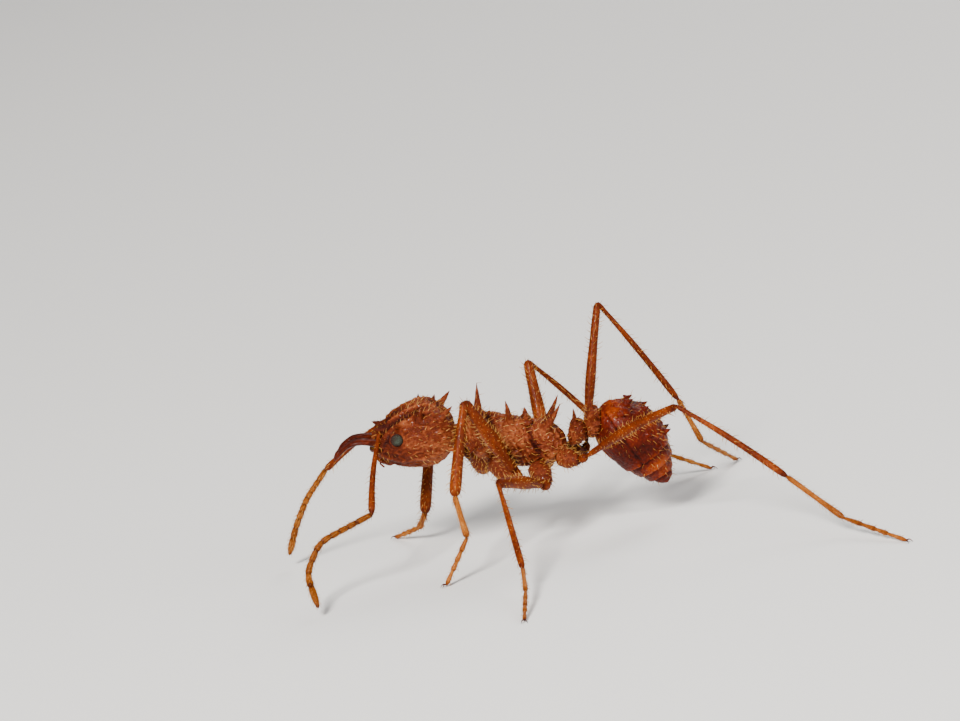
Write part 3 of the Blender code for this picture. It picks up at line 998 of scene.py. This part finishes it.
def press(plate, relief, axis_from, axis_to, full_tone=0.05, shade=0.0):
    """Move a plate's skin by relief, and store tone, direction and the map that its bristles read."""
    mesh = plate.data
    places = places_of(mesh)
    if CALM in mesh.attributes:
        relief = relief * carried(mesh, CALM)
    place_all(mesh, places + normals_of(mesh) * relief[:, None])
    # The relief is painted into the tone too: painted shade in the grooves and painted highlight on the
    # ridges, with shade added on top.
    carry(mesh, TONE, np.clip(relief / full_tone, -1, 1) + shade)
    start, along = np.array(axis_from), np.array(axis_to) - np.array(axis_from)
    length = np.linalg.norm(along)
    along = along / length
    side = np.array((0.0, 1.0, 0.0))
    off = places - start
    around = np.arctan2(off @ side, off @ np.cross(along, side)) / math.tau + 0.5
    unwrap(mesh, around, (off @ along) / length)
    carry(mesh, "lie", np.tile(along, len(places)), "FLOAT_VECTOR")


# %% [markdown]
# ## The head
# A spiny leafcutter's head is heart-shaped from the front and nearly round from the side. Two ridges run
# back from above the feelers' sockets, each with a shallow groove beside it in which the folded feeler
# rests. The shield above the jaws, the cheeks and the rim round each eye stand a little proud, and fine
# wrinkles run lengthwise over the rest. Every ridge or groove is one line of a table, drawn on the top,
# the front or the flank of the head in millimetres from between the eyes.

# %% The head's ridges and grooves
# Each has the side that it is drawn on, its line, its width and its height. A groove's is below zero.
HEAD_FORMS = {
    "ridge over the socket": (
        "top", ((-0.62, 0.22), (-0.35, 0.34), (0.15, 0.44), (0.70, 0.40), (1.15, 0.46)), 0.045, 0.055
    ),
    "groove for the feeler": ("top", ((-0.45, 0.50), (0.10, 0.60), (0.60, 0.60)), 0.085, -0.050),
    "ridge beside the groove": (
        "top", ((-0.42, 0.64), (0.00, 0.76), (0.50, 0.76), (0.95, 0.70)), 0.045, 0.040
    ),
    "furrow of the crown": ("top", ((-0.30, 0.0), (1.30, 0.0)), 0.035, -0.028),
    "edge of the shield": (
        "front", ((0.0, 0.30), (0.20, 0.22), (0.34, -0.02), (0.52, -0.20)), 0.030, -0.035
    ),
    "keel of the shield": ("front", ((0.0, 0.05), (0.0, -0.45)), 0.12, 0.020),
    "ridge of the cheek": ("flank", ((-0.50, -0.40), (0.10, -0.66), (0.90, -0.62)), 0.045, 0.030),
    "ridge behind the eye": ("flank", ((-0.10, 0.30), (0.35, 0.34), (0.90, 0.20)), 0.05, 0.028),
}
NECK_HOLLOW = 0.09  # mm deep
EYE_RIM, EYE_MOAT = 0.028, -0.016  # mm high and deep

# %% The head
head = make_plate("head_shell", ["head"], HEAD_SHELL)
near = mirrored(places_of(head.data), EYES_MIDDLE)
facing = normals_of(head.data)
masks = {
    "top": side_mask(facing[:, 2], 0.3),
    "front": side_mask(-facing[:, 0], -0.2),
    "flank": side_mask(np.abs(facing[:, 1]), -0.4),
}
eye_place = np.abs(np.array(middle_mm("eye_right") - EYES_MIDDLE))
eye_radius = radius_mm("eye_right")
near_eye = np.linalg.norm(near - eye_place, axis=1)
clear = np.clip((near_eye - eye_radius - 0.03) / 0.08, 0, 1)  # no fold reaches over the eye
hollow = ridge(near[:, VIEWS["front"]], ((0.0, 0.6), (0.0, -0.6)), 0.38, 1.0)  # where the neck joins
hollow = hollow * side_mask(facing[:, 0], -0.4)
relief = (
    drawn_forms(near, masks, HEAD_FORMS)
    - NECK_HOLLOW * hollow
    + ring(near, eye_place, eye_radius + 0.03, 0.035, EYE_RIM)
    + ring(near, eye_place, eye_radius + 0.10, 0.035, EYE_MOAT)
    + rough_skin(near, (3.0, 7.0, 7.0), 0.030, (7.0, 16.0, 16.0), 4.2, 0.018) * clear
)
# The face and the crown are the darkest, and the hollow is lightened, since little light reaches it.
shade = np.clip((near[:, 0] - 0.35) * 0.6, -0.45, 0.35) - 0.3 * masks["top"] + 0.8 * hollow
press(head, relief, from_eyes(-0.8, 0, -0.1), from_eyes(1.7, 0, -0.1), shade=shade)
head_cover = np.clip((near_eye - eye_radius - 0.06) * 8, 0, 1)  # bare round the eye
head_cover = head_cover * np.where(facing[:, 2] < -0.6, 0.45, 1.0)  # and barer underneath

# %% [markdown]
# ## The trunk
# The trunk is one box of three fused rings. A groove marks where the first meets the second, and another
# where the second meets the third. Ridges join the feet of the spines along the back, slanting seams
# part the side plates, and a breathing hole opens on each flank near the rear.

# %% The trunk's ridges and grooves
# They are drawn as the head's are, but from the middle of the trunk.
TRUNK_FORMS = {
    "ridge along the spines": (
        "top", ((-1.1, 0.34), (-0.2, 0.26), (0.25, 0.25), (0.9, 0.28), (1.15, 0.36)), 0.05, 0.050
    ),
    "furrow of the back": ("top", ((-0.9, 0.0), (1.2, 0.0)), 0.10, -0.030),
    "front seam": ("flank", ((-0.45, 0.10), (-0.10, -0.45)), 0.035, -0.045),
    "level seam": ("flank", ((-0.35, 0.02), (0.55, 0.02)), 0.035, -0.035),
    "rear seam": ("flank", ((0.30, 0.20), (0.75, -0.50)), 0.035, -0.045),
    "collar": ("flank", ((-1.35, -0.10), (-0.70, 0.35)), 0.05, 0.035),
    "swelling over the hind leg": ("flank", ((0.70, -0.42), (1.25, -0.30)), 0.14, 0.060),
}
TRUNK_MIDDLE_HEIGHT = 0.65  # mm above its underside
GROOVE = 0.045  # mm, how deep the rings of the trunk part
STRIPES_PER_MM = 7.5
STRIPE = 0.014  # mm high
BREATHING_HOLE = (0.86, 0.52, 0.08)

# %% The trunk
TRUNK = ["pronotum", "mesothorax", "propodeum"]
trunk = make_plate("trunk_shell", TRUNK, TRUNK_SHELL, grow=0.03)
(first_low, first_high), (second_low, second_high), (third_low, third_high) = map(box_mm, TRUNK)
front_groove = (first_high.x + second_low.x) / 2
rear_groove = (second_high.x + third_low.x) / 2
trunk_bottom = (third_low.z + second_low.z) / 2
trunk_middle = Vector(((front_groove + rear_groove) / 2, 0, trunk_bottom + TRUNK_MIDDLE_HEIGHT))
print("trunk middle", short(trunk_middle), "grooves at", short((front_groove, rear_groove)))
near = mirrored(places_of(trunk.data), trunk_middle)
facing = normals_of(trunk.data)
masks = {"top": side_mask(facing[:, 2], 0.2), "flank": side_mask(np.abs(facing[:, 1]), -0.3)}
lean = near[:, 0] + 0.25 * near[:, 2]
stripes = np.sin((near[:, 0] + 0.35 * near[:, 2]) * math.tau * STRIPES_PER_MM) * STRIPE
stripes = stripes * np.clip(wrinkles(near, (2.0, 2.0, 2.0), 2.5) + 0.3, 0, 1) * masks["flank"]
relief = (
    -GROOVE * bell(lean - (front_groove - trunk_middle.x), 0.06)
    - GROOVE * bell(lean - (rear_groove - trunk_middle.x), 0.07) * np.clip(sum(masks.values()), 0, 1)
    + drawn_forms(near, masks, TRUNK_FORMS)
    + ring(near, BREATHING_HOLE, 0.07, 0.03, 0.045)
    + ring(near, BREATHING_HOLE, 0.0, 0.045, -0.06)
    + stripes
    + rough_skin(near, (4.5, 8.0, 6.0), 0.034, (14.0, 16.0, 16.0), 4.0, 0.016, 3.0)
)
trunk_front, trunk_rear = (first_low.x, 0, trunk_middle.z), (third_high.x, 0, trunk_middle.z - 0.3)
press(trunk, relief, trunk_front, trunk_rear, shade=0.2)

# %% [markdown]
# ## The waist and the gaster
# Two knots join the trunk to the gaster, so that the ant can fold its rear under itself. The gaster is
# egg-shaped. Its first plate covers nearly all of it and carries rows of pointed bumps, and the last few
# plates slide into one another at the tip like the rings of a telescope.

# %% The knots
waist = {}
for name in ("petiole", "postpetiole"):
    knot = make_plate(name + "_shell", [name], TRUNK_SHELL, step=0.035)
    low, high = box_mm(name)
    middle = middle_mm(name)
    near = places_of(knot.data) - np.array(middle)
    relief = rough_skin(near, (6.0, 8.0, 8.0), 0.030, (15.0, 18.0, 18.0), 4.5, 0.016, 7.0)
    press(knot, relief, (low.x, 0, middle.z), (high.x, 0, middle.z))
    waist[name] = knot

# %% The gaster's own axes
gaster = make_plate("gaster_shell", ["gaster", "gaster_tip"], GASTER_SHELL, grow=0.03)
places = places_of(gaster.data)
centre = places.mean(axis=0)
off = places - centre
seen_flat = off[:, VIEWS["flank"]]
spread = np.linalg.eigh(seen_flat.T @ seen_flat)[1][:, -1]
gaster_along = np.array((spread[0], 0, spread[1])) * (1 if spread[0] > 0 else -1)
gaster_rise = np.cross(gaster_along, (0.0, 1.0, 0.0))
reach = places @ gaster_along
height = off @ gaster_rise
first_edge = float((points_mm("gaster_tip") @ gaster_along).min())
last = float(reach.max())
print("the gaster runs along", short(gaster_along), "with edges from", short((first_edge, last)))

# %% The gaster's plates and bumps
EDGES = (0.0, 0.38, 0.68)  # where the plates end, as a share of the tip's length
LIP, DROP = 0.028, 0.045  # mm, how far an edge stands up, and how deep the next plate starts
SEAM = 0.035  # mm deep, where the back's plates meet the belly's
GASTER_HALF = 1.4  # mm, half the gaster's length
steps = np.zeros(len(places))
for share in EDGES:
    behind = reach - (first_edge + (last - first_edge) * share)
    steps += np.where(behind > 0, -DROP * np.exp(-behind / 0.12), LIP * np.exp(behind / 0.16))
facing = normals_of(gaster.data)
upward = facing @ gaster_rise
flank = side_mask(np.abs(facing[:, 1]), -0.3)
side_seam = -SEAM * bell(height + 0.22, 0.035) * flank * (reach < first_edge)
relief = (
    steps + side_seam
    + wrinkles(places, (3.0, 3.0, 3.0), 0.022)
    + wrinkles(places, (11.0, 11.0, 11.0), 0.010)
    + warts(places, 3.4, 0.034, 5.0) * np.clip(0.4 + upward, 0, 1)
)
# The shell is dark, but light shows through it behind the waist and near the tip.
near = mirrored(places, EYES_MIDDLE)
glow = ring(near, (5.8, 0.5, -0.5), 0, 0.45, 1.1) + ring(near, (6.6, 0.5, -2.2), 0, 0.5, 0.9)
half = gaster_along * GASTER_HALF
press(gaster, relief, centre - half, centre + half, shade=glow - 0.38)
gaster_cover = np.clip(0.5 + upward, 0.3, 1)  # barer on the flanks than along the back

# %% [markdown]
# ## Jaws and mouthparts
# The two jaws are a little parted and hook down at the front. Each is a flat horn blade with a row of
# teeth on its inner edge, the one at the tip the longest. The blade is a chain of ovals along a bent
# way, the teeth are short spikes, and the remesher welds them to one horn. Under the jaws the tongue's
# case and its jointed palps close the mouth.

# %% The jaws' shape
JAW_WAY = (  # places from between the eyes, y away from the middle
    (-0.50, 0.42, -0.12), (-0.70, 0.40, -0.04), (-1.05, 0.36, 0.04),
    (-1.36, 0.30, -0.02), (-1.59, 0.24, -0.21), (-1.77, 0.17, -0.38),
)
BLADE = ((0, 0.11), (0.2, 0.145), (0.45, 0.17), (0.7, 0.145), (0.9, 0.08), (1, 0.03))
BLADE_THICKNESS = ((0, 0.11), (0.3, 0.080), (0.7, 0.066), (0.9, 0.048), (1, 0.02))
BLADE_STEPS = 44
OVAL = 16  # corners round the blade
TEETH = 8
TEETH_FROM, TEETH_SPAN = 0.38, 0.56  # shares of the blade's length
TOOTH = ((0, 0.045), (0.6, 0.03), (1, 0.006))
TOOTH_LENGTH, OTHER_TOOTH, FANG = 0.055, 0.02, 0.03  # mm, what every other and the last tooth add


def heading(way, share):
    """The direction in which a way runs at a share of it."""
    return (way(share + 0.02) - way(share - 0.02)).normalized()


def blade(way, inner):
    """A closed skin of ovals along a way, with inner the direction of its inner edge."""
    bm = bmesh.new()
    ovals = []
    for number in range(BLADE_STEPS + 1):
        share = number / BLADE_STEPS
        centre, onward = way(share), heading(way, share)
        inward = (inner - onward * onward.dot(inner)).normalized()
        flat = onward.cross(inward)
        wide, thick = eased(share, BLADE), eased(share, BLADE_THICKNESS)
        oval = []
        for step in range(OVAL):
            angle = math.tau * step / OVAL
            place = centre + inward * math.cos(angle) * wide + flat * math.sin(angle) * thick
            oval.append(bm.verts.new(place))
        ovals.append(oval)
    for before, after in zip(ovals, ovals[1:]):
        for step in range(OVAL):
            beyond = (step + 1) % OVAL
            bm.faces.new((before[step], before[beyond], after[beyond], after[step]))
    bm.faces.new(ovals[0])
    bm.faces.new(ovals[-1])
    bmesh.ops.recalc_face_normals(bm, faces=bm.faces)
    return bm


def tooth_rows(way, inner):
    rows = []
    for number in range(TEETH):
        share = TEETH_FROM + TEETH_SPAN * number / (TEETH - 1)
        centre, width = way(share), eased(share, BLADE)
        inward = (inner + heading(way, share) * 0.5).normalized()
        reach = width + TOOTH_LENGTH + OTHER_TOOTH * (number % 2) + FANG * (share > 0.9)
        tooth = straight(centre + inward * width * 0.6, centre + inward * reach)
        rows.append(row_along(tooth, TOOTH, 1, 8))
    return rows


# %% The jaws
def make_jaw(side):
    inner = Vector((0, -SIDES[side], 0))
    way = bent([from_eyes(x, SIDES[side] * y, z) for x, y, z in JAW_WAY], 0.08)
    jaw = add_object(f"mandible_{side}_horn", mesh_from(blade(way, inner), "blade"))
    teeth = tubes("teeth", tooth_rows(way, inner), JAW_HORN, 8)
    join_to(jaw, teeth.data)
    bpy.data.objects.remove(teeth)
    remesh(jaw, 0.013)
    relax(jaw.data, 2)
    dress(jaw, JAW_HORN)
    relief = wrinkles(places_of(jaw.data) - np.array(EYES_MIDDLE), (4.0, 16.0, 16.0), 0.010)
    press(jaw, relief, way(0.0), way(1.0), 0.02)
    return jaw


jaws = {side: make_jaw(side) for side in SIDES}
for side, jaw in jaws.items():
    finish_piece(jaw, "mandible_horn", f"mandible_{side}")

# %% The tongue's case, the lip and the palps
CASE = ((0, 0.10), (0.3, 0.20), (0.7, 0.17), (1, 0.06))
LIP = ((0, 0.06), (0.5, 0.11), (1, 0.06))
PALP = ((0, 0.018), (0.2, 0.028), (0.8, 0.030), (1, 0.018))
PALP_BENDS = (
    ((-0.46, 0.14, -0.58), (-0.58, 0.19, -0.70), (-0.48, 0.21, -0.82)),
    ((-0.60, 0.06, -0.52), (-0.70, 0.09, -0.60), (-0.68, 0.11, -0.72)),
)
case_way = straight(from_eyes(-0.10, 0, -0.74), from_eyes(-0.68, 0, -0.50))
lip_way = arched(from_eyes(-0.62, -0.24, -0.30), from_eyes(-0.62, 0.24, -0.30), 0.12, Vector((-1, 0, 0)))
mouth = [row_along(case_way, CASE, 1, 20), row_along(lip_way, LIP, 1, 20)]
for sign in SIDES.values():
    for bends in PALP_BENDS:
        root, knuckle, tip = (from_eyes(x, sign * y, z) for x, y, z in bends)
        mouth.append(row_along(straight(root, knuckle), PALP, 1, 10))
        mouth.append(row_along(straight(knuckle, tip), PALP, 0.9, 10))
finish_piece(make_limb("mouthparts", mouth, LEG_SHELL, 12), "head_shell")

# %% [markdown]
# ## Eyes
# Each eye is a small dome of several hundred facets, sunk a little in its rim, grey in the middle and
# dark red round the edge. Geometry Nodes sets a low six-sided lens on every corner of an even ball,
# turned outwards.

# %% Faceted eyes
def make_facet_tree():
    sockets = {"Lens Radius": "Float", "Lens Height": "Float", "Glaze": "Material"}
    graph, given = new_tree("eye facets", sockets)
    lens = graph.node(
        "GeometryNodeMeshCone", {"fill_type": "TRIANGLE_FAN"},
        {"Vertices": 6, "Radius Top": given["Lens Radius"] * 0.45,
         "Radius Bottom": given["Lens Radius"], "Depth": given["Lens Height"]},
    )
    outward = graph.node("GeometryNodeInputNormal", {}, {})
    turn = graph.node("FunctionNodeAlignRotationToVector", {"axis": "Z"}, {"Vector": outward})
    lenses = graph.node(
        "GeometryNodeInstanceOnPoints", {},
        {"Points": given["Geometry"], "Instance": lens, "Rotation": turn},
    )
    both = graph.node("GeometryNodeJoinGeometry", {}, {"Geometry": lenses})
    feed(both.output.node, {"Geometry": given["Geometry"]})
    return finish_tree(graph, both, given["Glaze"])


FACET_TREE = make_facet_tree()
for side in SIDES:
    radius, centre = radius_mm(f"eye_{side}"), middle_mm(f"eye_{side}")
    bm = bmesh.new()
    bmesh.ops.create_icosphere(bm, subdivisions=4, radius=radius, matrix=Matrix.Translation(centre))
    tone = bm.verts.layers.float.new(TONE)
    for vertex in bm.verts:
        off = vertex.co - centre
        vertex[tone] = 0.35 - 1.3 * (off.x ** 2 + off.z ** 2) / radius ** 2  # dark at the rim
    ball = add_object("ball", mesh_from(bm, "ball"))
    sizes = {"Lens Radius": radius * 0.078, "Lens Height": radius * 0.05, "Glaze": EYE_GLAZE}
    eye = run_tree(ball, FACET_TREE, f"eye_{side}_facets", sizes)
    bpy.data.objects.remove(ball)
    finish_piece(eye, "eye_glaze", f"eye_{side}")

# %% [markdown]
# ## Bristles
# Stiff curved bristles stand apart from one another all over the body and the legs, while the feelers
# and feet wear a close fine down. One tree grows them on any skin. It scatters roots at least a
# set distance apart, aims each bristle out from the skin and a little along its lie, bends it, and
# writes the skin's own unwrapped place of the root in the map that the export bakes by.

# %% The bristle tree
PATCH = 0.003  # how much of the bake's map one bristle takes
SHORT, LONG = 0.65, 1.25  # the range of sizes
JOINTS = 5  # points along a bristle
TAPER = 0.8


def make_bristle_tree():
    sockets = dict.fromkeys(("Spacing", "Length", "Radius", "Lean", "Spread", "Curl"), "Float")
    graph, given = new_tree("bristles", {**sockets, "Seed": "Int", "Straw": "Material"})
    points = graph.node(
        "GeometryNodeDistributePointsOnFaces", {"distribute_method": "POISSON"},
        {"Mesh": given["Geometry"], "Distance Min": given["Spacing"],
         "Density Max": 2.0 / (given["Spacing"] * given["Spacing"]),
         "Density Factor": named(graph, "cover"), "Seed": given["Seed"]},
        "Points",
    )
    lie = named(graph, "lie", "FLOAT_VECTOR")
    stray = graph.node(
        "FunctionNodeRandomValue", {"data_type": "FLOAT_VECTOR"},
        {0: (-1, -1, -1), 1: (1, 1, 1), "Seed": given["Seed"]},
    )
    aim = graph.added(points.sibling("Normal"), graph.scaled(lie, given["Lean"]))
    aim = graph.added(aim, graph.scaled(stray, given["Spread"]))
    turn = graph.node(
        "FunctionNodeAxesToRotation", {"primary_axis": "Z", "secondary_axis": "X"},
        {"Primary Axis": aim, "Secondary Axis": lie},
    )
    size = graph.node(
        "FunctionNodeRandomValue", {"data_type": "FLOAT"}, {2: SHORT, 3: LONG, "Seed": given["Seed"]}, 1
    )
    end = graph.node("ShaderNodeCombineXYZ", {}, {"Z": given["Length"]})
    line = graph.node("GeometryNodeCurvePrimitiveLine", {}, {"Start": (0, 0, 0), "End": end})
    line = graph.node("GeometryNodeResampleCurve", {}, {"Curve": line, "Count": JOINTS})
    share = graph.node("GeometryNodeSplineParameter", {}, {}, "Factor")
    bow = graph.node("ShaderNodeCombineXYZ", {}, {"X": share * share * given["Curl"] * given["Length"]})
    line = graph.node("GeometryNodeSetPosition", {}, {"Geometry": line, "Offset": bow})
    patch = graph.node("ShaderNodeCombineXYZ", {}, {"X": share * PATCH, "Y": share * PATCH * 0.5})
    line = stored(graph, line, "patch", patch, "FLOAT_VECTOR")
    profile = graph.node("GeometryNodeCurvePrimitiveCircle", {}, {"Resolution": 3, "Radius": 1.0})
    bristle = graph.node(
        "GeometryNodeCurveToMesh", {},
        {"Curve": line, "Profile Curve": profile, "Fill Caps": True,
         "Scale": (1.0 - share * TAPER) * given["Radius"]},
    )
    grown = graph.node(
        "GeometryNodeInstanceOnPoints", {},
        {"Points": points, "Instance": bristle, "Rotation": turn, "Scale": size},
    )
    real = graph.node("GeometryNodeRealizeInstances", {}, {"Geometry": grown})
    place = graph.added(named(graph, SKIN_MAP, "FLOAT_VECTOR"), named(graph, "patch", "FLOAT_VECTOR"))
    real = stored(graph, real, "OFBake", place, "FLOAT2", "CORNER")
    return finish_tree(graph, real, given["Straw"])


BRISTLE_TREE = make_bristle_tree()


# %% Growing bristles on a skin
CURL = 0.25  # how far a bristle's tip bends over, as a share of its length


def grow_bristles(skin, name, spacing, length, radius, lean=0.35, spread=0.35, cover=1.0):
    """Bristles on a skin, by the share of cover that each place has."""
    off_floor = np.clip(places_of(skin.data)[:, 2] / length - 0.8, 0, 1)  # none grow under the feet
    carry(skin.data, "cover", off_floor * cover)
    sizes = {
        "Spacing": spacing, "Length": length, "Radius": radius, "Lean": lean, "Spread": spread,
        "Curl": CURL, "Seed": len(name), "Straw": BRISTLE,
    }
    return run_tree(skin, BRISTLE_TREE, name, sizes)


# %% Bristles on the plates
# Each has its plate, its slot, the spacing, length and radius in millimetres, and the cover.
PLATE_BRISTLES = {
    "head": (head, "head_shell", 0.125, 0.11, 0.008, head_cover),
    "trunk": (trunk, "trunk_shell", 0.12, 0.15, 0.009, 1.0),
    "petiole": (waist["petiole"], "waist_shell", 0.12, 0.14, 0.009, 1.0),
    "postpetiole": (waist["postpetiole"], "waist_shell", 0.12, 0.15, 0.009, 1.0),
    "gaster": (gaster, "gaster_shell", 0.14, 0.13, 0.009, gaster_cover),
}
for name, (skin, slot, spacing, length, radius, cover) in PLATE_BRISTLES.items():
    finish_piece(grow_bristles(skin, name + "_bristles", spacing, length, radius, cover=cover), slot)
finish_piece(head, "head_shell", "head")
finish_piece(trunk, "trunk_shell", *TRUNK)
for name, knot in waist.items():
    finish_piece(knot, "waist_shell", name)
finish_piece(gaster, "gaster_shell", "gaster", "gaster_tip")

# %% Bristles on the legs and feelers
LONG_BRISTLES = (0.095, 0.14, 0.010, 0.40, 0.35)  # spacing, length, radius, lean and spread
DOWN = (0.055, 0.095, 0.007, 0.7, 0.30)
for name in bristly:
    coats = []
    for rows, settings in ((bristly[name], LONG_BRISTLES), (downy[name], DOWN)):
        skin = make_limb("bare", rows, LEG_SHELL)
        coats.append(grow_bristles(skin, "coat_" + name, *settings))
        bpy.data.objects.remove(skin)
    coat, down = coats
    join_to(coat, down.data)
    bpy.data.objects.remove(down)
    coat.name = name + "_bristles"
    finish_piece(coat, "tibia_shell" if name in LEGS else "scape_shell")

# %% [markdown]
# ## Sizes
# The box round the plain solids and the box round the dressed ant are printed side by side, to show how
# little the finish adds.

# %% Print the sizes
boxes = {"cad": CAD_BOX, "visual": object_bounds()}
boxes = {name: [[float(value) for value in corner] for corner in box] for name, box in boxes.items()}
print(boxes)
